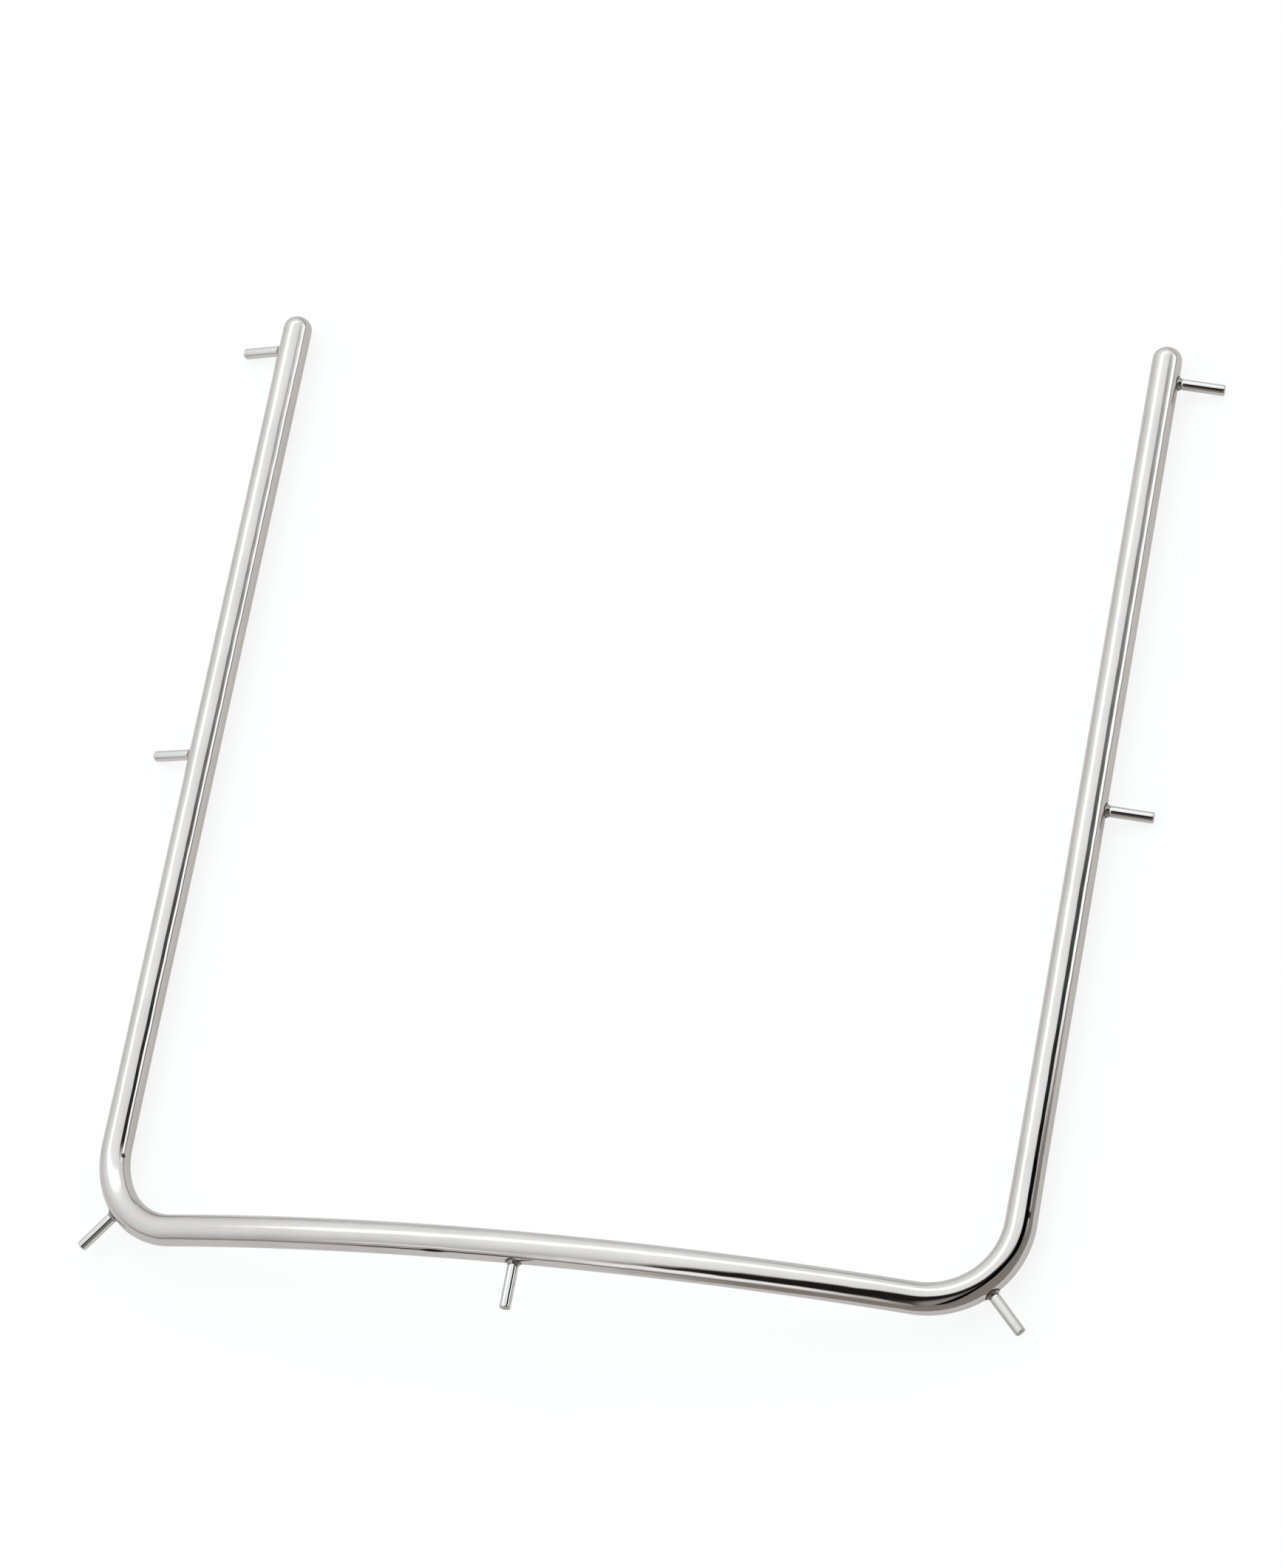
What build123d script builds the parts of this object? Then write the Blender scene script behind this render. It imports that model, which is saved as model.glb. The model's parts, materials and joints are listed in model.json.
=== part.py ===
from build123d import *

import os
from math import asin, atan2, cos, degrees, hypot, radians, sin, sqrt

# A dental dam frame: one round steel rod bent into a U, with short pegs brazed around its
# outside. The edge of a stretched rubber sheet hooks over the pegs. The bar across the foot
# of the U is bowed, so that the frame follows the curve of the face.
#
# The frame lies with the crown of its bow upward. X runs across it, Y from the bar along the
# arms, and Z up. The origin is under the middle of the frame, on the surface it lies on.
# Every size is in millimetres.

# The rod, measured along its centre line.
rod_diameter = 3.5
arm_spacing = 110.0  # from one arm to the other
arm_reach = 117.5  # from the bar to the tips of the arms
corner_radius = 10.4  # of the bend between the bar and an arm
bow_radius = 180.0  # of the bar, seen from its end
tip_rounding = 1.6  # at the cut ends of the rod

# The pegs, turned with a thinner tenon that sits in a drilled socket.
peg_diameter = 1.3
peg_reach = 5.4  # how far a peg stands out of the rod
peg_bevel = 0.15  # around a peg's free end
tenon_diameter = 0.9
socket_depth = 1.2
socket_clearance = 0.0  # the tenon is a tap fit, line to line

# Where the pegs stand.
top_peg_drop = 4.3  # from the tip of an arm down to its first peg
middle_peg_drop = 57.7  # from the tip of an arm down to its second peg
corner_peg_turn = 45.0  # degrees round the bend, from the bar

# The bead of braze in the corner between a peg and the rod.
bead_height = 0.35  # up the peg, from the crown of the rod
bead_spread = 0.35  # out over the rod, from the side of the peg

rod_radius = rod_diameter / 2
peg_radius = peg_diameter / 2
tenon_radius = tenon_diameter / 2
peg_end = rod_radius + peg_reach  # from the rod's centre line

# The bar turns through this angle from its middle to each end, in radians. There the bends
# take over, and carry the arms out to half their spacing.
bow_turn = asin(arm_spacing / 2 / hypot(bow_radius, corner_radius)) - atan2(corner_radius, bow_radius)

# The arms lie below the crown of the bow, and their pegs slope down, so that the frame rests
# on either the rod or the lower edge of the pegs' ends.
bar_end_drop = bow_radius * (1 - cos(bow_turn))
arm_drop = bar_end_drop + corner_radius * sin(bow_turn)
peg_sag = (peg_end - peg_bevel) * sin(bow_turn) + peg_radius * cos(bow_turn)
crown_height = arm_drop + max(rod_radius, peg_sag)
bar_place = (peg_end - arm_reach) / 2  # in Y, so that the origin is under the middle


def side_plane(hand):
    """The plane of one bend and its arm: origin at the bar's end, X outward, Y along the arm."""
    return Plane(
        (hand * bow_radius * sin(bow_turn), bar_place, crown_height - bar_end_drop),
        x_dir=(hand * cos(bow_turn), 0, -sin(bow_turn)),
        z_dir=(sin(bow_turn), 0, hand * cos(bow_turn)),
    )


def on(side, x, y):
    """A point of a side's plane."""
    return side.from_local_coords((x, y, 0))


def around_bend(turn):
    """How far out and how far up a bend's centre line has come after this many degrees."""
    return corner_radius * sin(radians(turn)), corner_radius * (1 - cos(radians(turn)))


def peg_plane(side, x, y, direction):
    """Origin on the rod's centre line, X along the rod, Y out along the peg."""
    along_rod = side.x_dir.rotate(Axis((0, 0, 0), side.z_dir), direction - 90)
    return Plane(on(side, x, y), x_dir=along_rod, z_dir=side.z_dir)


sides = {"left": side_plane(-1), "right": side_plane(1)}

peg_planes = {
    "bottom_centre": Plane((0, bar_place, crown_height), x_dir=(1, 0, 0), z_dir=(0, 0, -1))
}
for name, side in sides.items():
    corner_peg = around_bend(corner_peg_turn)
    peg_planes[f"{name}_top"] = peg_plane(side, corner_radius, arm_reach - top_peg_drop, 0)
    peg_planes[f"{name}_middle"] = peg_plane(side, corner_radius, arm_reach - middle_peg_drop, 0)
    peg_planes[f"{name}_corner"] = peg_plane(side, *corner_peg, corner_peg_turn - 90)

# The rod: a circle carried from one tip round the U to the other, with its ends rounded.
left, right = sides["left"], sides["right"]
with BuildPart() as bent_rod:
    with BuildLine() as centre_line:
        Line(on(left, corner_radius, arm_reach), on(left, corner_radius, corner_radius))
        ThreePointArc(on(left, corner_radius, corner_radius), on(left, *around_bend(45)), left.origin)
        ThreePointArc(left.origin, (0, bar_place, crown_height), right.origin)
        ThreePointArc(right.origin, on(right, *around_bend(45)), on(right, corner_radius, corner_radius))
        Line(on(right, corner_radius, corner_radius), on(right, corner_radius, arm_reach))
    with BuildSketch(Plane(on(left, corner_radius, arm_reach), z_dir=(0, -1, 0))):
        Circle(rod_radius)
    sweep(path=centre_line.line)
    tips = bent_rod.faces().filter_by(GeomType.PLANE)
    fillet(tips.edges(), min(tip_rounding, 0.95 * rod_radius))

# Then a blind socket is drilled in it for each peg.
with BuildPart() as frame_rod:
    add(bent_rod.part)
    for plane in peg_planes.values():
        with BuildSketch(Plane(plane.origin, z_dir=plane.y_dir).offset(rod_radius - socket_depth)):
            Circle(tenon_radius + socket_clearance)
        extrude(amount=peg_end, mode=Mode.SUBTRACT)


def make_peg(plane):
    """A peg as it is turned: half its outline, spun about its own axis."""
    with BuildPart() as peg:
        with BuildSketch(plane):
            Polygon(
                (0, rod_radius - socket_depth),
                (tenon_radius, rod_radius - socket_depth),
                (tenon_radius, rod_radius + bead_height),
                (peg_radius, rod_radius + bead_height),
                (peg_radius, peg_end - peg_bevel),
                (peg_radius - peg_bevel, peg_end),
                (0, peg_end),
                align=None,
            )
        revolve(axis=Axis(plane.origin, plane.y_dir))
    return peg.part


def make_braze(plane):
    """A sloping ring round the tenon, from under the peg down to the rod, cut to fit the rod."""
    foot_radius = peg_radius + bead_spread
    foot_height = sqrt(rod_radius**2 - foot_radius**2)
    with BuildPart() as braze:
        with BuildSketch(plane):
            Polygon(
                (tenon_radius, foot_height),
                (foot_radius, foot_height),
                (peg_radius, rod_radius + bead_height),
                (tenon_radius, rod_radius + bead_height),
                align=None,
            )
        revolve(axis=Axis(plane.origin, plane.y_dir))
        add(bent_rod.part, mode=Mode.SUBTRACT)
    return braze.part


pieces = {"frame_rod": frame_rod.part}
for name, plane in peg_planes.items():
    pieces[f"peg_{name}"] = make_peg(plane)
    pieces[f"braze_{name}"] = make_braze(plane)

os.makedirs("parts", exist_ok=True)
for name, piece in pieces.items():
    piece.label = name
    export_step(piece, f"parts/{name}.step")

box = Compound(list(pieces.values())).bounding_box()
print("pieces", len(pieces), "bow turn", round(degrees(bow_turn), 2), "degrees")
print("box from", tuple(round(v, 3) for v in box.min), "to", tuple(round(v, 3) for v in box.max))
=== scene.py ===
# %% [markdown]
# # A dental dam frame in polished steel
#
# A dentist stretches a thin rubber sheet over this frame. It is one round steel rod, bent into
# a wide U, with seven short pegs brazed round its outside for the sheet to hook on. There is no
# moving part in it.
#
# The frame has only three kinds of surface, and all of them are mirrors to some degree, so the
# lesson is about two things: smooth skins worked out exactly from the frame's own sizes, and the
# bright tent that a polished thing has to stand in before it looks like metal.

# %% Load the measured model
import json

import bpy
import numpy as np
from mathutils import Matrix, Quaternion, Vector


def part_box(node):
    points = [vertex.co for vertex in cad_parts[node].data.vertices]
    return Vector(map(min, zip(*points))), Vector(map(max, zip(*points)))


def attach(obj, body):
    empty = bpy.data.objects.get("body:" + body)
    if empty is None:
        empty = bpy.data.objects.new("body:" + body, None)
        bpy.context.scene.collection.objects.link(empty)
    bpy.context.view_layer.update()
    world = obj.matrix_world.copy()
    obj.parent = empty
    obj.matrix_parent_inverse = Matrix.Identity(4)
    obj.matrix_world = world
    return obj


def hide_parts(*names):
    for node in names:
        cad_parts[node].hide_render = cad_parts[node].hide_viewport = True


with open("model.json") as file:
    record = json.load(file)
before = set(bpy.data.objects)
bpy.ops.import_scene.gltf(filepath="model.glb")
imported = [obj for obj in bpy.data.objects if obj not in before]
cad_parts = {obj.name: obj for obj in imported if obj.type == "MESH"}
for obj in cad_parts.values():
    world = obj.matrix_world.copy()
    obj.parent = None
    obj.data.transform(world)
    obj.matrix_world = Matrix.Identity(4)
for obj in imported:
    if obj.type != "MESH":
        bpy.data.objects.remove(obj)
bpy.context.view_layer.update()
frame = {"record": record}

mm = 0.001

# %% [markdown]
# ## The line that the rod follows
#
# The rod's centre line is an arc for the bowed bar, a tight bend at each end of it, and a
# straight arm after each bend. All of that is one function of the distance from the middle of
# the bar, because each stretch simply stops growing where the next one takes over. A curve
# object with a bevel would draw the same tube, but its rings would fall where the spline puts
# them. Here every ring is exactly square to the line and stands where it is wanted, because a
# mirror shows the smallest unevenness at once.

# %% Sizes of the bent rod
rod_radius = 1.75 * mm
arm_spacing = 110.0 * mm  # from one arm to the other
arm_reach = 117.5 * mm  # from the bar to the tips
bend_radius = 10.4 * mm  # of the bend between the bar and an arm
bow_radius = 180.0 * mm  # of the bar, seen from its end
tip_rounding = 1.6 * mm  # at the cut ends

half_span_turn = np.arcsin(arm_spacing / 2 / np.hypot(bow_radius, bend_radius))
bow_turn = half_span_turn - np.arctan2(bend_radius, bow_radius)
bar_half = bow_radius * bow_turn
bend_length = bend_radius * np.pi / 2
arm_start = bar_half + bend_length  # along the rod from the middle of the bar
half_length = arm_start + arm_reach - bend_radius

rod_low, rod_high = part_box("frame_rod")
bar_y = rod_low.y + rod_radius
crown_z = rod_high.z - rod_radius
print("rod, tip to tip:", round(2 * half_length / mm, 2), "mm")
print("the bow turns", round(np.degrees(bow_turn), 2), "degrees each way")


# %% The centre line as a function
def centre_line(distance):
    """Places, forward directions and upper sides of the rod's line, for an array of distances.

    The distance is measured from the middle of the bar, below zero on the left. The bow turns
    by distance over bow radius until the bar ends, then the bend turns by what is left over
    bend radius until it has turned a quarter, and what is left after that is straight arm.
    The left half is the right half with its X reversed.
    """
    side = np.where(distance < 0, -1.0, 1.0)
    far = np.abs(distance)
    bow = np.minimum(far, bar_half) / bow_radius
    bend = np.clip(far - bar_half, 0, bend_length) / bend_radius
    straight = np.maximum(far - arm_start, 0)
    none = np.zeros_like(far)
    outward = np.stack([side * np.cos(bow), none, -np.sin(bow)], -1)
    upper = np.stack([side * np.sin(bow), none, np.cos(bow)], -1)
    along_y = np.array([0.0, 1.0, 0.0])
    place = np.array([0, bar_y, crown_z - bow_radius]) + bow_radius * upper
    place = place + outward * (bend_radius * np.sin(bend))[:, None]
    place = place + along_y * (bend_radius * (1 - np.cos(bend)) + straight)[:, None]
    forward = outward * np.cos(bend)[:, None] + along_y * np.sin(bend)[:, None]
    return place, side[:, None] * forward, upper


tips, _, _ = centre_line(np.array([-half_length, half_length]))
print("tips at", np.round(tips / mm, 3).tolist(), "mm")
print("the measured solid ends at y", round(rod_high.y / mm, 3), "mm")

# %% [markdown]
# ## One way to make every skin
#
# Each surface here is a grid of points: one direction goes round the piece, and the other goes
# along its outline. The grid closes on itself round the piece. Along the outline it either ends
# in a point at each end, as the rod and the pegs do, or closes too, as a ring of braze does.
# The helper joins the grid into faces, all at once, and turns them over if the space inside
# them comes out negative, so that every face looks outward.


# %% Faces of a grid that goes round
def grid_faces(rows, columns, capped):
    """Four-sided faces from each point to the next in its row and column, and fans at the ends.

    With caps, two more points follow the grid's own, and a fan of triangles joins each of them
    to the first or the last row. With no caps the last row joins the first.
    """
    row, column = np.indices((rows - 1 if capped else rows, columns))
    after, below = (column + 1) % columns, (row + 1) % rows
    here, next_row = row * columns, below * columns
    quads = np.stack([here + column, here + after, next_row + after, next_row + column], -1)
    if not capped:
        return quads.reshape(-1, 4), np.zeros((0, 3), int)
    first, turn = np.arange(columns), (np.arange(columns) + 1) % columns
    last, cap = (rows - 1) * columns, np.full(columns, rows * columns)
    head = np.stack([turn, first, cap], -1)
    tail = np.stack([last + first, last + turn, cap + 1], -1)
    return quads.reshape(-1, 4), np.concatenate([head, tail])


def volume_inside(points, quads, fans):
    """The sum, over every triangle, of a sixth of its corners' triple product."""
    halves = np.concatenate([quads[:, [0, 1, 2]], quads[:, [0, 2, 3]], fans])
    a, b, c = points[halves].transpose(1, 0, 2)
    return np.einsum("ij,ij->", a, np.cross(b, c)) / 6


print("faces of a capped grid of 3 by 4 points:", [len(part) for part in grid_faces(3, 4, True)])


# %% From a grid of points to a closed mesh
def skin(name, grid, poles=(), values=None):
    """Makes a smooth closed mesh from points[row, column, xyz], whose columns go right round.

    Two poles close the first and the last row; with no poles the last row joins the first.
    values gives each point a named number or vector, and a pole takes the mean of the row
    beside it.
    """
    rows, columns = grid.shape[:2]
    capped = len(poles) > 0
    points = grid.reshape(-1, 3)
    if capped:
        points = np.concatenate([points, np.array(poles)])
    quads, fans = grid_faces(rows, columns, capped)
    volume = volume_inside(points, quads, fans)
    if volume < 0:
        quads, fans, volume = quads[:, ::-1], fans[:, ::-1], -volume
    mesh = bpy.data.meshes.new(name)
    mesh.vertices.add(len(points))
    mesh.vertices.foreach_set("co", points.astype(np.float32).ravel())
    corners = np.concatenate([quads.ravel(), fans.ravel()]).astype(np.int32)
    mesh.loops.add(len(corners))
    mesh.loops.foreach_set("vertex_index", corners)
    sizes = np.concatenate([np.full(len(quads), 4), np.full(len(fans), 3)])
    starts = np.concatenate([[0], np.cumsum(sizes)[:-1]]).astype(np.int32)
    mesh.polygons.add(len(sizes))
    mesh.polygons.foreach_set("loop_start", starts)
    mesh.polygons.foreach_set("use_smooth", np.ones(len(sizes), bool))
    for title, value in (values or {}).items():
        flat = value.reshape(rows * columns, -1)
        if capped:
            ends = [flat[:columns].mean(0, keepdims=True), flat[-columns:].mean(0, keepdims=True)]
            flat = np.concatenate([flat, *ends])
        kind, field = ("FLOAT_VECTOR", "vector") if flat.shape[1] == 3 else ("FLOAT", "value")
        attribute = mesh.attributes.new(title, kind, "POINT")
        attribute.data.foreach_set(field, flat.astype(np.float32).ravel())
    mesh.update(calc_edges=True)
    mesh.validate()
    piece = bpy.data.objects.new(name, mesh)
    bpy.context.scene.collection.objects.link(piece)
    print(f"{name}: {len(points)} points, {len(sizes)} faces, {volume / mm**3:.2f} cubic mm")
    return piece


def stand_for(piece, node):
    """The piece rides with the frame in place of one measured solid, which is hidden."""
    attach(piece, "root")
    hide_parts(node)


# %% [markdown]
# ## The rod
#
# The rod is drawn steel, cut to length, with its ends ground round and the whole then polished.
# Its skin is a circle carried along the centre line. The circle keeps its size until the
# rounding starts, and there it shrinks as the cosine of an angle while it moves on by the sine,
# which is a quarter circle seen from the side. Rings stand closer together in the bends and
# the tips, where the skin turns fastest. The bending tool pressed the bar a little, so along
# the bar the circle is stretched into an oval, wider than it is high.

# %% Where the rings stand
tip_angle = np.linspace(0, np.pi / 2, 15)[1:]
from_middle = np.concatenate([
    np.linspace(0, bar_half, 45)[:-1],
    bar_half + np.linspace(0, bend_length, 40)[:-1],
    np.linspace(arm_start, half_length - tip_rounding, 60),
    half_length - tip_rounding + tip_rounding * np.sin(tip_angle),
])
ring_radius = np.full(len(from_middle), rod_radius)
ring_radius[-len(tip_angle):] = rod_radius - tip_rounding * (1 - np.cos(tip_angle))
stations = np.concatenate([-from_middle[:0:-1], from_middle])
radii = np.concatenate([ring_radius[:0:-1], ring_radius])
print("rings:", len(stations), "; radius at a tip", round(radii[0] / mm, 3), "mm")

# %% A circle carried along the line
bar_pressing = 0.06  # how much wider than high the bar is


def smooth(value):
    """0 below 0, 1 above 1, and an S between."""
    held = np.clip(value, 0, 1)
    return held**2 * (3 - 2 * held)


def pressed(distance):
    """Width over height of the rod: 1 along the arms, and 1 + pressing along the bar.

    It starts to rise on the arm, one bend radius before the bend, and takes a bend's length.
    """
    past_start = arm_start + bend_radius - np.abs(distance)
    return 1 + bar_pressing * smooth(past_start / bend_length)


def carried_circle(distance, radius, angle):
    """Points[ring, angle]: centre + radius (cos angle x upper + pressing x sin angle x outer)."""
    place, forward, upper = centre_line(distance)
    outer = np.cross(forward, upper) * pressed(distance)[:, None]
    spoke = np.cos(angle)[None, :, None] * upper[:, None]
    spoke = spoke + np.sin(angle)[None, :, None] * outer[:, None]
    return place[:, None] + radius[:, None, None] * spoke


round_rod = np.linspace(0, 2 * np.pi, 112, endpoint=False)
rod_grid = carried_circle(stations, radii, round_rod)
print("the bar is", round(2 * rod_radius * pressed(np.zeros(1))[0] / mm, 2), "mm wide")

# %% [markdown]
# The skin also carries three values for its finish, one set for each point. The grain is the
# distance along the rod and the place round it, which lets marks follow the bends. Heat and
# reflection is high close round every peg, where brazing left a heat stain, and widest on the
# outside of the right bend, where its brown is painted dark reflection, not heat.
# Worn is high from the left bend to the middle of the bar, where a hand holds the frame and
# has dulled the polish, and low from there to the right bend. They could be painted by hand,
# but a distance to something gives each of them in a line or two, and it stays right if a
# size changes.

# %% Grain, heat stain with painted dark reflection, and wear of the rod's skin
pins = {m["name"].removesuffix("_pin"): m for m in frame["record"]["mounts"] if m["kind"] == "pin"}
pin_middle = 4.55 * mm  # the record measures each pin at its middle, from the centre line
peg_heat = 0.7
# the middle of the painted dark reflection on the outside of the right bend
dark_reflection_middle = bar_half + 0.55 * bend_length  # a little past the right corner peg
least_wear = 0.25  # toward the right of the bar and in the right bend


def fading(distance, full, gone):
    """1 up to the first distance, 0 from the second on, and a straight slope between them."""
    return np.clip((gone - distance) / (gone - full), 0, 1)


def pin_line(pin):
    """Where a pin's axis leaves the rod's centre line, and the unit direction that it takes."""
    out = np.array(pin["axis"], float)
    out = out / np.linalg.norm(out)
    return np.array(pin["pos_m"], float) - out * pin_middle, out


along, around = np.meshgrid(stations, round_rod, indexing="ij")
grain_round = radii[:, None] * np.cos(around), radii[:, None] * np.sin(around)
rod_grain = np.stack([along, *grain_round], -1) / mm
heat = np.zeros(along.shape)
for foot, out in map(pin_line, pins.values()):
    away = np.linalg.norm(rod_grid - (foot + out * rod_radius), axis=-1)
    heat = np.maximum(heat, peg_heat * fading(away, 0.34 * mm, 2.04 * mm))
# On the outside of the right bend the same brown is painted dark reflection, not a heat stain.
outer_side = fading(-np.sin(around), -0.4, 0.35)
painted_reflection_patch = smooth(fading(np.abs(along - dark_reflection_middle), 3.75 * mm, 18.75 * mm))
heat = np.maximum(heat, outer_side * painted_reflection_patch)
held_part = fading(np.abs(along), arm_start - 4 * mm, arm_start + 4 * mm)
worn = held_part * np.maximum(fading(along, 0, 0.6 * bar_half), least_wear)

rod_values = {"grain": rod_grain, "heat": heat[..., None], "worn": worn[..., None]}
rod = skin("polished_rod", rod_grid, tips, rod_values)
stand_for(rod, "frame_rod")
print("pins in the record:", sorted(pins))

# %% [markdown]
# ## The pegs
#
# A peg is a short cut of drawn wire, turned down to a thin tenon at one end, which sits in a
# hole in the rod. The skin is half its outline spun about its own axis. The outline's corners
# are worn just a little round, and extra rings stand close beside them, so that smooth shading
# keeps the sides straight. The place and direction of each peg come from the model's own
# record, where each peg is listed as a pin that the rubber sheet hooks on.

# %% The outline of a peg
peg_radius = 0.65 * mm
peg_end = 7.15 * mm  # heights are from the rod's centre line
peg_bevel = 0.15 * mm
tenon_radius = 0.45 * mm
tenon_foot = 0.55 * mm
shoulder = 2.10 * mm  # where the tenon becomes the full peg
end_dish = 0.023 * mm  # how far the cutter sank the middle of the end
end_face = np.array([(0.44, 0.0), (0.36, 0.007), (0.22, 0.018), (0.08, 0.022)]) * mm

corner = np.linspace(0, np.pi / 2, 7)
side_heights = np.linspace(shoulder + 0.70 * mm, peg_end - peg_bevel - 0.06 * mm, 8)
peg_outline = np.concatenate([
    np.array([
        (tenon_radius / 3, tenon_foot),
        (tenon_radius - 0.05 * mm, tenon_foot),
        (tenon_radius, tenon_foot + 0.05 * mm),
        (tenon_radius, shoulder - 0.02 * mm),
        (tenon_radius + 0.02 * mm, shoulder),
        (peg_radius - 0.03 * mm, shoulder),
        (peg_radius, shoulder + 0.03 * mm),
        (peg_radius, shoulder + 0.20 * mm),
    ]),
    np.stack([np.full(8, peg_radius), side_heights], -1),
    np.stack([
        peg_radius - peg_bevel * (1 - np.cos(corner)),
        peg_end - peg_bevel * (1 - np.sin(corner)),
    ], -1),
    np.stack([end_face[:, 0], peg_end - end_face[:, 1]], -1),
])
print("outline points:", len(peg_outline))

# %% Spin the outline about each pin of the record
round_peg = np.linspace(0, 2 * np.pi, 56, endpoint=False)


def peg_axes(pin):
    """A peg's foot on the centre line, its three directions, and the rod's pressing there."""
    foot, out = pin_line(pin)
    places, forwards, _ = centre_line(stations)
    nearest = np.argmin(((places - foot) ** 2).sum(1))
    along_rod = forwards[nearest] - out * (forwards[nearest] @ out)
    along_rod = along_rod / np.linalg.norm(along_rod)
    return foot, out, along_rod, np.cross(out, along_rod), pressed(stations[nearest])


def spun(height, radius, foot, out, along_rod, across):
    """Points[outline, angle]: foot + height x out + radius (cos angle x along + sin x across)."""
    spoke = np.cos(round_peg)[:, None] * along_rod + np.sin(round_peg)[:, None] * across
    return foot + height[..., None] * out + radius[..., None] * spoke[None]


def turned_grain(height, radius):
    """The distance along a turned piece and the place round it, in millimetres."""
    return np.stack([height, radius * np.cos(round_peg), radius * np.sin(round_peg)], -1) / mm


outline_radius, outline_height = peg_outline.T[:, :, None] * np.ones(len(round_peg))
sawn_face = (outline_radius < peg_radius - 0.5 * peg_bevel) & (outline_height > peg_end / 2)
peg_values = {
    "grain": turned_grain(outline_height, outline_radius),
    "cut": sawn_face.astype(float)[..., None],
}
pegs = []
for node, pin in pins.items():
    foot, out, along_rod, across, _ = peg_axes(pin)
    peg_grid = spun(outline_height, outline_radius, foot, out, along_rod, across)
    ends = [foot + out * tenon_foot, foot + out * (peg_end - end_dish)]
    peg = skin(node.replace("peg_", "pin_"), peg_grid, ends, peg_values)
    stand_for(peg, node)
    pegs.append(peg)

# %% [markdown]
# ## The braze
#
# Silver braze is drawn by capillary pull into the corner between a peg and the rod, and sets
# there as a small hollow fillet. It climbs the peg by the same height all round, and its foot
# lies on the rod, so it hangs lower on the two sides where the rod curves away. A plain turned
# ring can't do that, so its height is measured from the rod under each point of it.

# %% The fillet's surface
bead_spread = 0.35 * mm  # out over the rod, from the side of the peg
hollow = 2.2  # the power that bends the fillet's slope inward
bite = 0.03 * mm  # how far the hidden underside sinks into the rod
hidden_radius = np.array([[0.80], [0.62], [0.46], [0.46], [0.56]]) * mm


def rod_under(radius, pressing):
    """Height of the rod's surface: a circle across the rod, stretched by the pressing."""
    return pressing * np.sqrt(rod_radius**2 - (radius * np.sin(round_peg)) ** 2)


def fillet(foot, out, along_rod, across, pressing):
    """Points[outline, angle] of a ring that climbs from the rod to the peg along a hollow curve.

    With t from 0 at the peg to 1 at the foot, the radius is peg radius + t x spread, and the
    height is the rod under it + (1 - t) to the power of the hollow x the climb. The ring goes
    back under its foot and up against the tenon, so that it is closed.
    """
    t = np.linspace(0, 1, 15)[:, None]
    seen_radius = peg_radius + bead_spread * t
    climb = shoulder - rod_under(peg_radius, pressing)
    slope = rod_under(seen_radius, pressing) + (1 - t) ** hollow * climb
    underside = rod_under(hidden_radius[:3], pressing) - bite
    top = np.full((2, len(round_peg)), shoulder)
    height = np.concatenate([slope, underside, top])
    radius = np.concatenate([seen_radius, hidden_radius]) * np.ones(len(round_peg))
    crevice = np.concatenate([t, np.ones((5, 1))]) * np.ones(len(round_peg))
    points = spun(height, radius, foot, out, along_rod, across)
    return points, {"grain": turned_grain(height, radius), "crevice": crevice[..., None]}


brazes = []
for node, pin in pins.items():
    braze_grid, braze_values = fillet(*peg_axes(pin))
    braze = skin(node.replace("peg_", "fillet_"), braze_grid, (), braze_values)
    stand_for(braze, node.replace("peg_", "braze_"))
    brazes.append(braze)

# %% [markdown]
# ## Finishes
#
# Steel has no colour of its own to speak of: it shows about half of what stands round it, a
# little warmer than grey. What makes it steel rather than chrome is what the tools left behind.
# The rod was drawn through a die and polished lengthwise, so its marks run along it. The
# pattern therefore doesn't use the object's XYZ, which would cut across the bends, but the
# grain that each skin carries with it.

# %% Small helpers for materials
def new_node(tree, kind, inputs=None, **settings):
    """Adds a node, sets it, and gives its inputs a number, a colour or another node's output."""
    made = tree.nodes.new(kind)
    for setting, value in settings.items():
        setattr(made, setting, value)
    for socket, value in (inputs or {}).items():
        if isinstance(value, bpy.types.NodeSocket):
            tree.links.new(value, made.inputs[socket])
        else:
            made.inputs[socket].default_value = value
    return made


def maths(tree, operation, first, second=0.0):
    """One sum of two numbers, such as ADD or MULTIPLY."""
    return new_node(tree, "ShaderNodeMath", {0: first, 1: second}, operation=operation).outputs[0]


def vector_maths(tree, operation, first, second, output="Vector"):
    """One sum of two vectors. Its output is a vector, or the number called Value."""
    inputs = {0: first, 1: second}
    made = new_node(tree, "ShaderNodeVectorMath", inputs, operation=operation)
    return made.outputs[output]


def fade(tree, value, start, end, low=0.0, high=1.0):
    """Goes smoothly from low to high as the value goes from start to end."""
    if start > end:
        start, end, low, high = end, start, high, low
    inputs = {0: value, 1: start, 2: end, 3: low, 4: high}
    ramp = new_node(tree, "ShaderNodeMapRange", inputs, interpolation_type="SMOOTHSTEP")
    return ramp.outputs[0]


def mix_colour(tree, amount, first, second):
    """first + amount x (second - first), for colours."""
    mixed = new_node(tree, "ShaderNodeMix", {0: amount, 6: first, 7: second}, data_type="RGBA")
    return mixed.outputs[2]


def carried(tree, title, output="Fac"):
    """What a skin carries under this name."""
    return new_node(tree, "ShaderNodeAttribute", attribute_name=title).outputs[output]


print("Blender", bpy.app.version_string, "mixes colours between sockets 6 and 7 of a Mix node")


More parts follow.
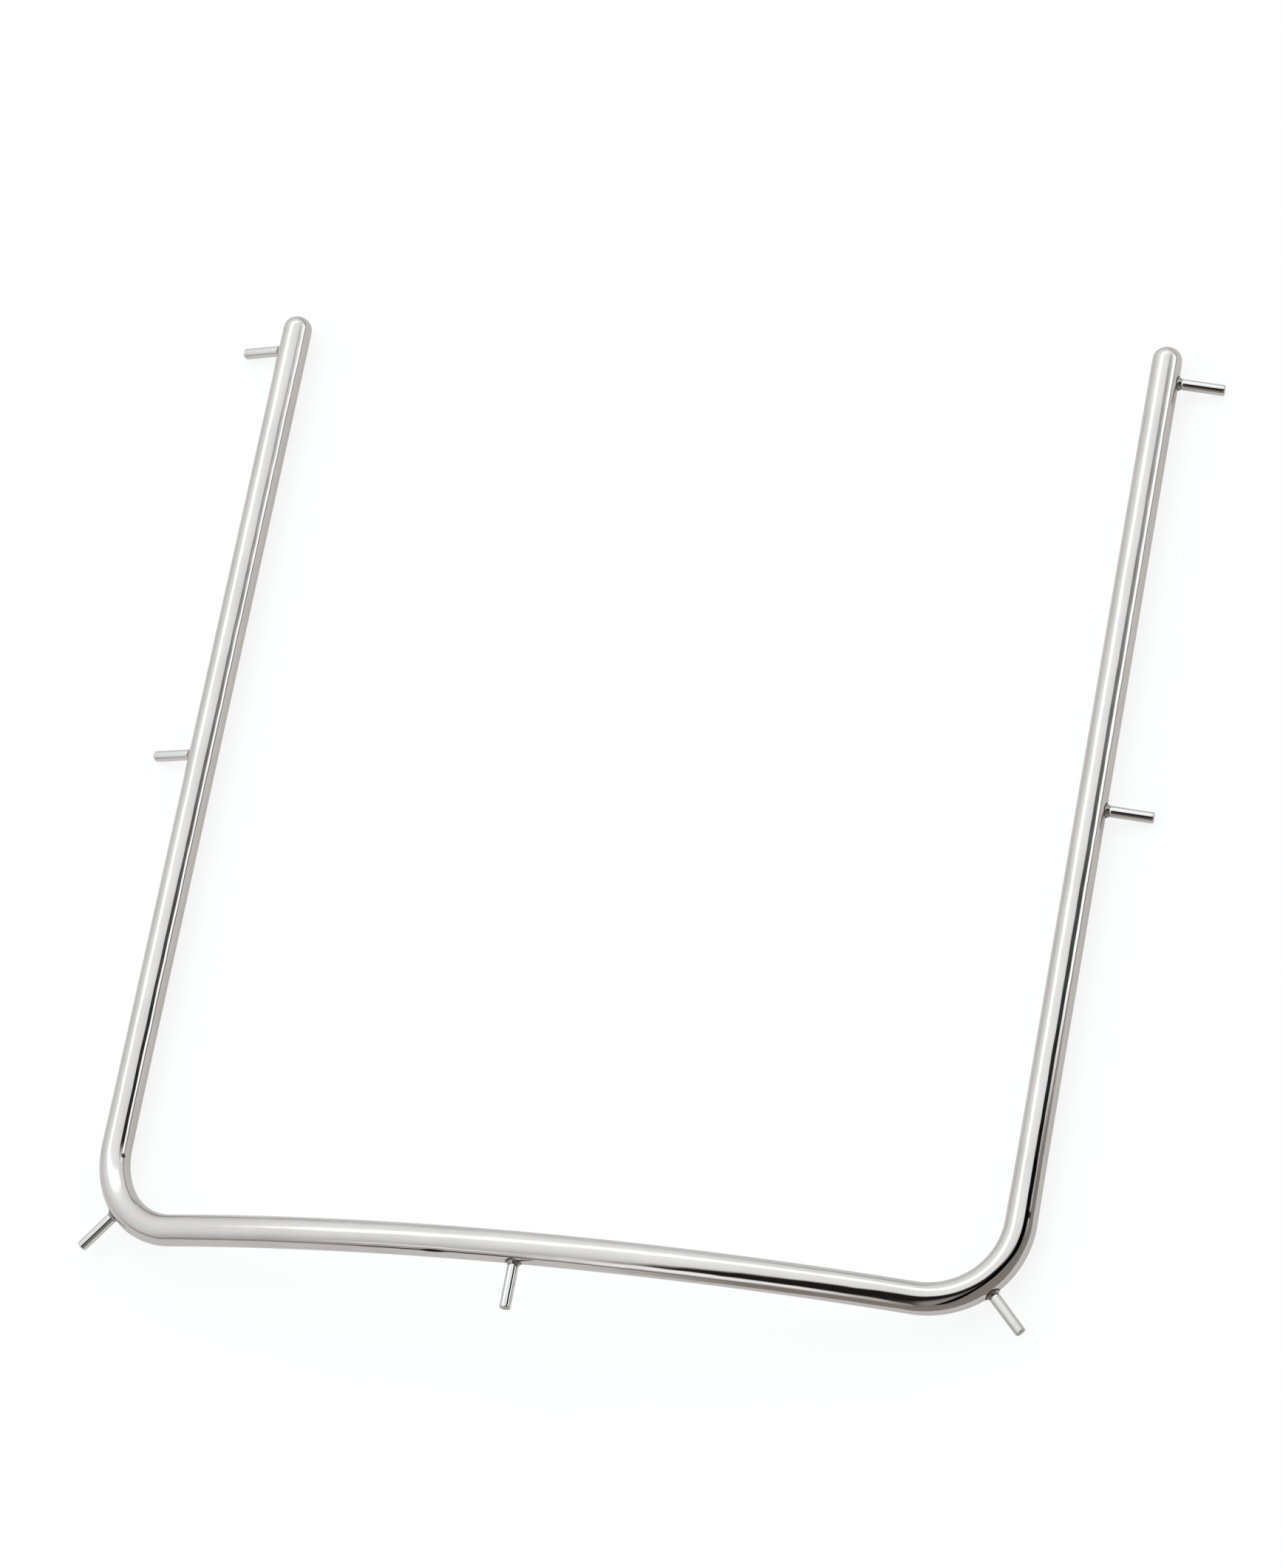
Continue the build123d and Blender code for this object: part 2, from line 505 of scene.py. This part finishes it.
# %% A steel that any piece can wear
def noise_along(tree, grain, stretch, detail=3.0, roughness=0.5):
    """Noise in the grain, with a count per millimetre along the piece and one round it."""
    along_count, round_count = stretch
    scaled = vector_maths(tree, "MULTIPLY", grain, (along_count, round_count, round_count))
    inputs = {"Vector": scaled, "Scale": 1.0, "Detail": detail, "Roughness": roughness}
    return new_node(tree, "ShaderNodeTexNoise", inputs).outputs[0]


def bump(tree, height, distance, **normal):
    """Tilts the surface as if the pattern stood this high."""
    inputs = {"Height": height, "Strength": 1.0, "Distance": distance, **normal}
    return new_node(tree, "ShaderNodeBump", inputs).outputs[0]


def steel(name, bright, dull, polish, draw_lines, waves, lines_height, waves_height):
    """A polished metal: two close greys in soft patches, draw lines, and two heights of bump.

    polish is the roughness between the draw lines, the roughness on them, and what a dull
    patch adds. draw_lines and waves are counts per millimetre, along the piece and round it.
    """
    material = bpy.data.materials.new(name)
    material.use_nodes = True
    tree = material.node_tree
    shader = tree.nodes["Principled BSDF"]
    shader.inputs["Metallic"].default_value = 1.0
    grain = carried(tree, "grain", "Vector")
    lines = noise_along(tree, grain, draw_lines, 4.0, 0.6)
    patches = noise_along(tree, grain, (0.12, 0.35), 3.0)
    wave = noise_along(tree, grain, waves, 1.0)
    smooth_rough, line_rough, patch_rough = polish
    in_lines = fade(tree, lines, 0.3, 0.75, smooth_rough, line_rough)
    in_patches = fade(tree, patches, 0.4, 0.75, 0.0, patch_rough)
    colour = mix_colour(tree, fade(tree, patches, 0.35, 0.7), bright, dull)
    rough = maths(tree, "ADD", in_lines, in_patches)
    both = bump(tree, wave, waves_height, Normal=bump(tree, lines, lines_height))
    tree.links.new(colour, shader.inputs["Base Color"])
    tree.links.new(rough, shader.inputs["Roughness"])
    tree.links.new(both, shader.inputs["Normal"])
    return material, tree, shader, colour, rough


rod_steel, rod_tree, rod_shader, rod_colour, rod_rough = steel(
    "polished_steel",
    bright=(0.548, 0.512, 0.485, 1),
    dull=(0.512, 0.478, 0.453, 1),
    polish=(0.02, 0.05, 0.025),
    draw_lines=(0.05, 4.0),
    waves=(0.2, 0.5),
    lines_height=0.0006 * mm,
    waves_height=0.05 * mm,
)
print("nodes in the rod's steel:", len(rod_tree.nodes))

# %% [markdown]
# Where a torch has been, polished steel keeps a brownish stain, in streaks along the draw
# lines, and it is a little rougher. The heat and reflection value that the skin carries blends
# that in. Round each peg that brown is the stain of brazing, but on the outside of the right
# bend it is painted dark reflection. A few small dark marks lie on the rod. Modelling them in
# the mesh would take thousands of faces for a mark a fraction of a millimetre wide, so each one
# is a dark ellipse in the finish, measured in the grain.

# %% Heat stain and painted dark reflection, wear and dark marks on the rod
rod_place = carried(rod_tree, "grain", "Vector")
burnt_and_dark_reflection = carried(rod_tree, "heat")
worn_down = carried(rod_tree, "worn")
streaks = fade(rod_tree, noise_along(rod_tree, rod_place, (0.35, 5.0), 4.0, 0.7), 0.3, 0.7)
# brown of a heat stain round the pegs, and painted dark reflection on the right bend's outside
brown_stain_and_reflection = mix_colour(rod_tree, streaks, (0.29, 0.265, 0.247, 1), (0.44, 0.41, 0.388, 1))
rod_look = mix_colour(rod_tree, burnt_and_dark_reflection, rod_colour, brown_stain_and_reflection)
for added_by, amount in ((burnt_and_dark_reflection, 0.1), (worn_down, 0.05)):
    rod_rough = maths(rod_tree, "ADD", rod_rough, maths(rod_tree, "MULTIPLY", added_by, amount))

# small dark ellipses set into the rod's base colour
dark_mark_colour = (0.05, 0.045, 0.04, 1)
dark_marks = [  # along the rod, degrees round it from its upper side, half length, half width (mm)
    (-9.5 * mm, 52.0, 1.7, 0.2),
    (1.8 * mm - arm_start, -66.0, 0.4, 0.3),
    (arm_start + 0.6 * mm, 26.0, 0.5, 0.22),
    (arm_start + 6.5 * mm, 16.0, 0.8, 0.12),
]
for distance, degrees, half_long, half_wide in dark_marks:
    turn = np.radians(degrees)
    centre = np.array([distance, rod_radius * np.cos(turn), rod_radius * np.sin(turn)]) / mm
    shrink = (1 / half_long, 1 / half_wide, 1 / half_wide)
    apart = vector_maths(rod_tree, "SUBTRACT", rod_place, tuple(centre))
    apart = vector_maths(rod_tree, "MULTIPLY", apart, shrink)
    far = vector_maths(rod_tree, "LENGTH", apart, (0.0, 0.0, 0.0), "Value")
    rod_look = mix_colour(rod_tree, fade(rod_tree, far, 1.2, 0.6), rod_look, dark_mark_colour)
rod_tree.links.new(rod_look, rod_shader.inputs["Base Color"])
rod_tree.links.new(rod_rough, rod_shader.inputs["Roughness"])
print("nicks:", len(dark_marks), "; nodes now:", len(rod_tree.nodes))

# %% [markdown]
# The pegs are wire as it came from the die, a little brighter than the rod and less carefully
# polished. Their ends were sawn off and never polished, so they are duller. The braze is
# a silver alloy that has set with a fine skin; its colour here is a dark grey, which is painted
# shade and dark reflection round the foot of each peg, and it goes near black toward the crevice
# at its foot, which is painted shade there. Both can be the same steel with other numbers and
# one more carried value.

# %% Drawn steel for the pegs
peg_steel, peg_tree, peg_shader, peg_colour, peg_rough = steel(
    "drawn_steel",
    bright=(0.60, 0.572, 0.548, 1),
    dull=(0.53, 0.502, 0.48, 1),
    polish=(0.02, 0.06, 0.02),
    draw_lines=(0.3, 4.0),
    waves=(0.3, 0.8),
    lines_height=0.0005 * mm,
    waves_height=0.006 * mm,
)
sawn = carried(peg_tree, "cut")
sawn_colour = mix_colour(peg_tree, sawn, peg_colour, (0.3, 0.28, 0.262, 1))
sawn_rough = maths(peg_tree, "ADD", peg_rough, maths(peg_tree, "MULTIPLY", sawn, 0.3))
peg_tree.links.new(sawn_colour, peg_shader.inputs["Base Color"])
peg_tree.links.new(sawn_rough, peg_shader.inputs["Roughness"])
print("nodes in the pegs' steel:", len(peg_tree.nodes))

# %% Silver braze, in a dark grey of painted shade
braze_painted_dark, braze_tree, braze_shader, braze_colour, _ = steel(
    "silver_braze_painted_shade",
    # dark greys for silver: painted shade and dark reflection round the pegs' feet
    bright=(0.36, 0.335, 0.312, 1),
    dull=(0.22, 0.2, 0.185, 1),
    polish=(0.1, 0.22, 0.1),
    draw_lines=(3.0, 3.0),
    waves=(1.5, 1.5),
    lines_height=0.002 * mm,
    waves_height=0.02 * mm,
)
# Toward the fillet's foot the colour goes near black: painted shade in the crevice.
painted_crevice_shade = fade(braze_tree, carried(braze_tree, "crevice"), 0.4, 0.85)
braze_with_painted_shade = mix_colour(braze_tree, painted_crevice_shade, braze_colour, (0.025, 0.022, 0.02, 1))
braze_tree.links.new(braze_with_painted_shade, braze_shader.inputs["Base Color"])

for pieces, material in (([rod], rod_steel), (pegs, peg_steel), (brazes, braze_painted_dark)):
    for piece in pieces:
        piece.data.materials.append(material)
print("finishes:", [m.name for m in bpy.data.materials])

# %% [markdown]
# ## The light tent
#
# A mirror shows the room, so the room is most of the picture. Polished instruments are put in
# a white tent, with a round opening to look through. The white cloth makes the broad pale
# bands, and a soft box behind it makes the brightest one. Through the opening the frame sees
# the dim room, with the black rim of the opening above it, and they make the grey and dark
# bands of the bar and the bends. A lamp stands on each side of the opening. All of it is far
# away next to so small a thing, so it can be a pattern of directions in the world, rather than
# cards that might get into a picture.

# %% Directions in the tent
tent = bpy.data.worlds.new("light_tent")
tent.use_nodes = True
bpy.context.scene.world = tent
sky = tent.node_tree
direction = new_node(sky, "ShaderNodeTexCoord").outputs["Generated"]


def unit(azimuth, elevation):
    """A direction: azimuth from the front toward the right, elevation from level, in degrees."""
    a, e = np.radians([azimuth, elevation])
    return np.array([np.sin(a) * np.cos(e), -np.cos(a) * np.cos(e), np.sin(e)])


def share(vector):
    """How much of the direction lies along a vector."""
    return vector_maths(sky, "DOT_PRODUCT", direction, tuple(vector), "Value")


def angle_from(azimuth, elevation):
    """Degrees between the direction and a fixed one."""
    turn = maths(sky, "ARCCOSINE", share(unit(azimuth, elevation)))
    return maths(sky, "MULTIPLY", turn, np.degrees(1))


def soft_box(azimuth, elevation, roll, half_width, half_height, softness):
    """1 inside a rectangle of light and 0 outside it, with soft edges. Sizes are in degrees."""
    centre, a, r = unit(azimuth, elevation), np.radians(azimuth), np.radians(roll)
    level = np.array([np.cos(a), np.sin(a), 0])
    rise = np.cross(level, centre) * np.sign(np.cross(level, centre)[2])
    width_way = level * np.cos(r) + rise * np.sin(r)
    height_way = rise * np.cos(r) - level * np.sin(r)
    inside = []
    for way, half in ((width_way, half_width), (height_way, half_height)):
        off = maths(sky, "ARCTAN2", maths(sky, "ABSOLUTE", share(way)), share(centre))
        off = maths(sky, "MULTIPLY", off, np.degrees(1))
        inside.append(fade(sky, off, half + softness, half - softness))
    return maths(sky, "MULTIPLY", *inside)


def blend_to(amount, first, second):
    """first + amount x (second - first), for numbers."""
    inputs = {0: amount, 2: first, 3: second}
    return new_node(sky, "ShaderNodeMix", inputs, data_type="FLOAT").outputs[0]


for side, azimuth in (("front", 0), ("right", 90)):
    print("the", side, "is toward", unit(azimuth, 0).round(3).tolist())

# %% The cloth, and the soft box behind it
key_azimuth, key_elevation, key_brightness = -156.5, 51.0, 2.1
opening_azimuth, opening_elevation = 50.7, 23.8

backward, upward = share((0, 1, 0)), share((0, 0, 1))
overhead = fade(sky, upward, 0.0, 0.9, 1.0, 1.17)
in_front = fade(sky, backward, -0.2, -1.0, 0.0, -0.36)
key_glow = fade(sky, angle_from(key_azimuth, key_elevation), 82.0, 0.0, 0.0, 0.38)
cloth = maths(sky, "ADD", maths(sky, "ADD", overhead, in_front), key_glow)
key_box = soft_box(key_azimuth, key_elevation, 12.4, 32.0, 8.7, 5.0)
cloth = blend_to(key_box, cloth, key_brightness)
print("soft box", key_elevation, "degrees up, at", key_brightness, "times plain white")

# %% The opening, its black rim, and the lamps beside it
rim_brightness = 0.02
room = fade(sky, upward, 0.3, 0.75, 0.27, 0.42)
from_opening = angle_from(opening_azimuth, opening_elevation)
high_up = fade(sky, upward, 0.4, 0.58)
rim = maths(sky, "MULTIPLY", fade(sky, from_opening, 31.0, 42.0), high_up)
room = blend_to(rim, room, rim_brightness)
flank = maths(sky, "MULTIPLY", fade(sky, backward, 0.1, 0.24), fade(sky, upward, 0.1, 0.4))
outside = maths(sky, "MAXIMUM", fade(sky, from_opening, 55.0, 62.0), flank)
light = blend_to(outside, room, cloth)

lamps = [  # azimuth, elevation, roll, half width, half height, softness, brightness
    (114.6, 18.5, 48.5, 18.0, 10.0, 4.5, 2.0),
    (-9.8, 24.1, -2.3, 9.2, 12.7, 6.0, 1.65),
    (-31.0, 27.0, 0.0, 6.0, 3.0, 2.5, 1.5),
]
for *box, brightness in lamps:
    light = blend_to(soft_box(*box), light, brightness)
print("lamps:", len(lamps))

# %% [markdown]
# Near the floor the cloth is dimmer, because the card ends and the table begins. Three dark
# things stand there too, and a rod is round enough to find all of them. The light is then
# tinted: dim parts are a little warm, and the brightest a little cold, as lamps are. The
# eye itself sees plain white where it looks past the card.

# %% The horizon, and the colour of the light
near_floor = fade(sky, backward, 0.0, -0.5, 0.95, 0.6)
light = maths(sky, "MULTIPLY", light, fade(sky, upward, 0.12, 0.24, near_floor, 1.0))
dark_things = [  # as for the lamps
    (-25.0, 3.0, 0.0, 4.0, 5.5, 1.8, 0.06),
    (104.0, 0.5, 0.0, 9.0, 6.0, 3.0, 0.15),
    (150.0, 2.0, 0.0, 40.0, 3.5, 2.0, 0.3),
]
for *box, brightness in dark_things:
    light = blend_to(soft_box(*box), light, brightness)

warm, cold = (1.03, 0.965, 0.93, 1), (0.945, 1.005, 1.045, 1)
tint = mix_colour(sky, fade(sky, light, 0.3, 1.3), warm, cold)
straight_on = new_node(sky, "ShaderNodeLightPath").outputs["Is Camera Ray"]
tint = mix_colour(sky, straight_on, tint, (1, 1, 1, 1))
background = sky.nodes["Background"]
sky.links.new(blend_to(straight_on, light, 1.0), background.inputs["Strength"])
sky.links.new(tint, background.inputs["Color"])
print("nodes in the tent:", len(sky.nodes))

# %% [markdown]
# Two things have to be near, because each part of the frame sees them from its own side: a
# black flag high on the right, which draws the dark line down each arm, and a low dark strip
# that stands on the floor round the right corner. Only mirrors see them, so they throw no
# shadow. Their edges fade, because a flag so near is never sharp in a rod.

# %% Felt that only mirrors see
def flag(name, points, cover, darkness):
    """Hangs felt on points[row, column, xyz]. cover goes from 1, whole, to 0, where it ends."""
    rows, columns = points.shape[:2]
    row, column = np.indices((rows - 1, columns - 1))
    first_corner = (row * columns + column).reshape(-1, 1)
    corners = first_corner + np.array([0, 1, columns + 1, columns])
    mesh = bpy.data.meshes.new(name)
    mesh.from_pydata(points.reshape(-1, 3).tolist(), [], corners.tolist())
    attribute = mesh.attributes.new("cover", "FLOAT", "POINT")
    attribute.data.foreach_set("value", cover.astype(np.float32).ravel())
    hung = bpy.data.objects.new(name, mesh)
    bpy.context.scene.collection.objects.link(hung)
    hung.visible_camera = hung.visible_diffuse = hung.visible_shadow = False
    felt = bpy.data.materials.new(name + "_felt")
    felt.use_nodes = True
    tree = felt.node_tree
    tree.nodes.remove(tree.nodes["Principled BSDF"])
    dark = new_node(tree, "ShaderNodeEmission", {"Color": (*darkness, 1), "Strength": 1.0})
    clear = new_node(tree, "ShaderNodeBsdfTransparent")
    layers = {0: carried(tree, "cover"), 1: clear.outputs[0], 2: dark.outputs[0]}
    both = new_node(tree, "ShaderNodeMixShader", layers)
    tree.links.new(both.outputs[0], tree.nodes["Material Output"].inputs["Surface"])
    mesh.materials.append(felt)
    print(name, "has", len(corners), "faces")


# %% The high flag
tilt, flag_away = np.radians(39.5), 0.55  # above level to the right, and metres from the origin
half_width, soft_edge = 0.145, 0.03
front_end, back_end = -0.8, 0.46
front_fade, back_fade = 0.07, 0.36
narrowing, narrow_until, full_from = 0.17, -0.2, 0.1  # its lower edge climbs toward the front

flag_across = np.linspace(-1, 1, 41) * (half_width + soft_edge)
flag_along = np.linspace(front_end, back_end, 81)
flag_across, flag_along = np.meshgrid(flag_across, flag_along, indexing="ij")
high = np.array([np.cos(tilt), 0, np.sin(tilt)]) * flag_away
high = high + flag_across[..., None] * np.array([-np.sin(tilt), 0, np.cos(tilt)])
high = high + flag_along[..., None] * np.array([0, 1.0, 0])
narrow_part = smooth((full_from - flag_along) / (full_from - narrow_until))
lower_edge = narrowing * narrow_part - half_width
high_cover = smooth((half_width + soft_edge - flag_across) / (2 * soft_edge))
high_cover = high_cover * smooth((flag_across - lower_edge + soft_edge) / (2 * soft_edge))
high_cover = high_cover * smooth((flag_along - front_end) / front_fade)
high_cover = high_cover * smooth((back_end - flag_along) / back_fade)
flag("high_flag", high, high_cover, (0.0, 0.0, 0.0))

# %% The low strip
strip_near, strip_away, strip_high = 0.014, 0.032, 0.017  # from the rod, and its height
strip_start, strip_end, end_fade = -0.05, 0.11, 0.03  # along it, from the end of the bar
lying, standing = -1, 1.5  # below 0 it lies on the card, toward the rod

course, climb = np.linspace(strip_start, strip_end, 81), np.linspace(lying, standing, 26)
course, climb = np.meshgrid(course, climb, indexing="ij")
away = strip_near + (strip_away - strip_near) * np.clip(climb - lying, 0, 1)
strip_turn = np.clip(course / (bend_radius + strip_away), 0, np.pi / 2)
past = np.maximum(course - (bend_radius + strip_away) * np.pi / 2, 0)
low_x = arm_spacing / 2 - bend_radius + (bend_radius + away) * np.sin(strip_turn)
low_y = bar_y + bend_radius - (bend_radius + away) * np.cos(strip_turn) + past
low_z = 0.03 * mm + strip_high * np.maximum(climb, 0)
low = np.stack([low_x + np.minimum(course, 0), low_y, low_z], -1)
low_cover = smooth((course - strip_start) / end_fade) * smooth((strip_end - course) / end_fade)
low_cover = low_cover * smooth((standing - climb) / 0.8) * smooth((climb - lying) / 0.4)
flag("low_strip", low, low_cover, (0.36, 0.333, 0.315))

# %% [markdown]
# ## The floor
#
# The frame lies on white card. Its colour is a plain near-white, and for the eye and for every
# mirror it is lifted the rest of the way to clean white by light that only those rays see. It
# isn't lifted all the way, so that the frame still darkens the card where it almost touches.

# %% White card under the frame
card_half, card_drop = 4.0, 0.02 * mm
lift_strength, lift_share, mirror_share = 1.055, 0.8, 0.5

card_mesh = bpy.data.meshes.new("card")
corner_signs = ((-1, -1), (1, -1), (1, 1), (-1, 1))
card_corners = [(x * card_half, y * card_half, -card_drop) for x, y in corner_signs]
card_mesh.from_pydata(card_corners, [], [(0, 1, 2, 3)])
card = bpy.data.objects.new("card", card_mesh)
bpy.context.scene.collection.objects.link(card)

paper = bpy.data.materials.new("white_card")
paper.use_nodes = True
paper_tree = paper.node_tree
paper_tree.nodes.remove(paper_tree.nodes["Principled BSDF"])
matt = new_node(paper_tree, "ShaderNodeBsdfDiffuse", {"Color": (0.86, 0.86, 0.86, 1)})
white_light = {"Color": (1, 1, 1, 1), "Strength": lift_strength}
lift = new_node(paper_tree, "ShaderNodeEmission", white_light)
ray = new_node(paper_tree, "ShaderNodeLightPath").outputs
in_mirror = maths(paper_tree, "MULTIPLY", ray["Is Glossy Ray"], mirror_share)
seen = maths(paper_tree, "MAXIMUM", ray["Is Camera Ray"], in_mirror)
seen = maths(paper_tree, "MAXIMUM", seen, ray["Is Transmission Ray"])
lifted = maths(paper_tree, "MULTIPLY", seen, lift_share)
layers = {0: lifted, 1: matt.outputs[0], 2: lift.outputs[0]}
surface = new_node(paper_tree, "ShaderNodeMixShader", layers)
paper_out = paper_tree.nodes["Material Output"]
paper_tree.links.new(surface.outputs[0], paper_out.inputs["Surface"])
card_mesh.materials.append(paper)
print("card", 2 * card_half, "metres square")

# %% [markdown]
# ## The camera
#
# The frame is seen from high on its right, with the camera itself leaning over, so that the
# U seems to tip to the left. A long lens keeps the two arms almost the same size.

# %% Set up the camera
stand_point = Vector((0.25397, -0.23983, 0.64233))
look_at = Vector((2.18, 2.87, 6.0)) * mm
lean = np.radians(-38.748)
camera_data = bpy.data.cameras.new("camera")
camera_data.lens = 144.48
camera_data.sensor_width = 36.0
camera_data.clip_start, camera_data.clip_end = 0.01, 50.0
camera = bpy.data.objects.new("camera", camera_data)
bpy.context.scene.collection.objects.link(camera)
aim = (look_at - stand_point).to_track_quat("-Z", "Y")
camera.rotation_mode = "QUATERNION"
camera.location = stand_point
camera.rotation_quaternion = aim @ Quaternion((0, 0, 1), lean)
bpy.context.scene.camera = camera
bpy.context.scene.view_settings.view_transform = "Standard"
print("camera", round((look_at - stand_point).length, 4), "metres away")
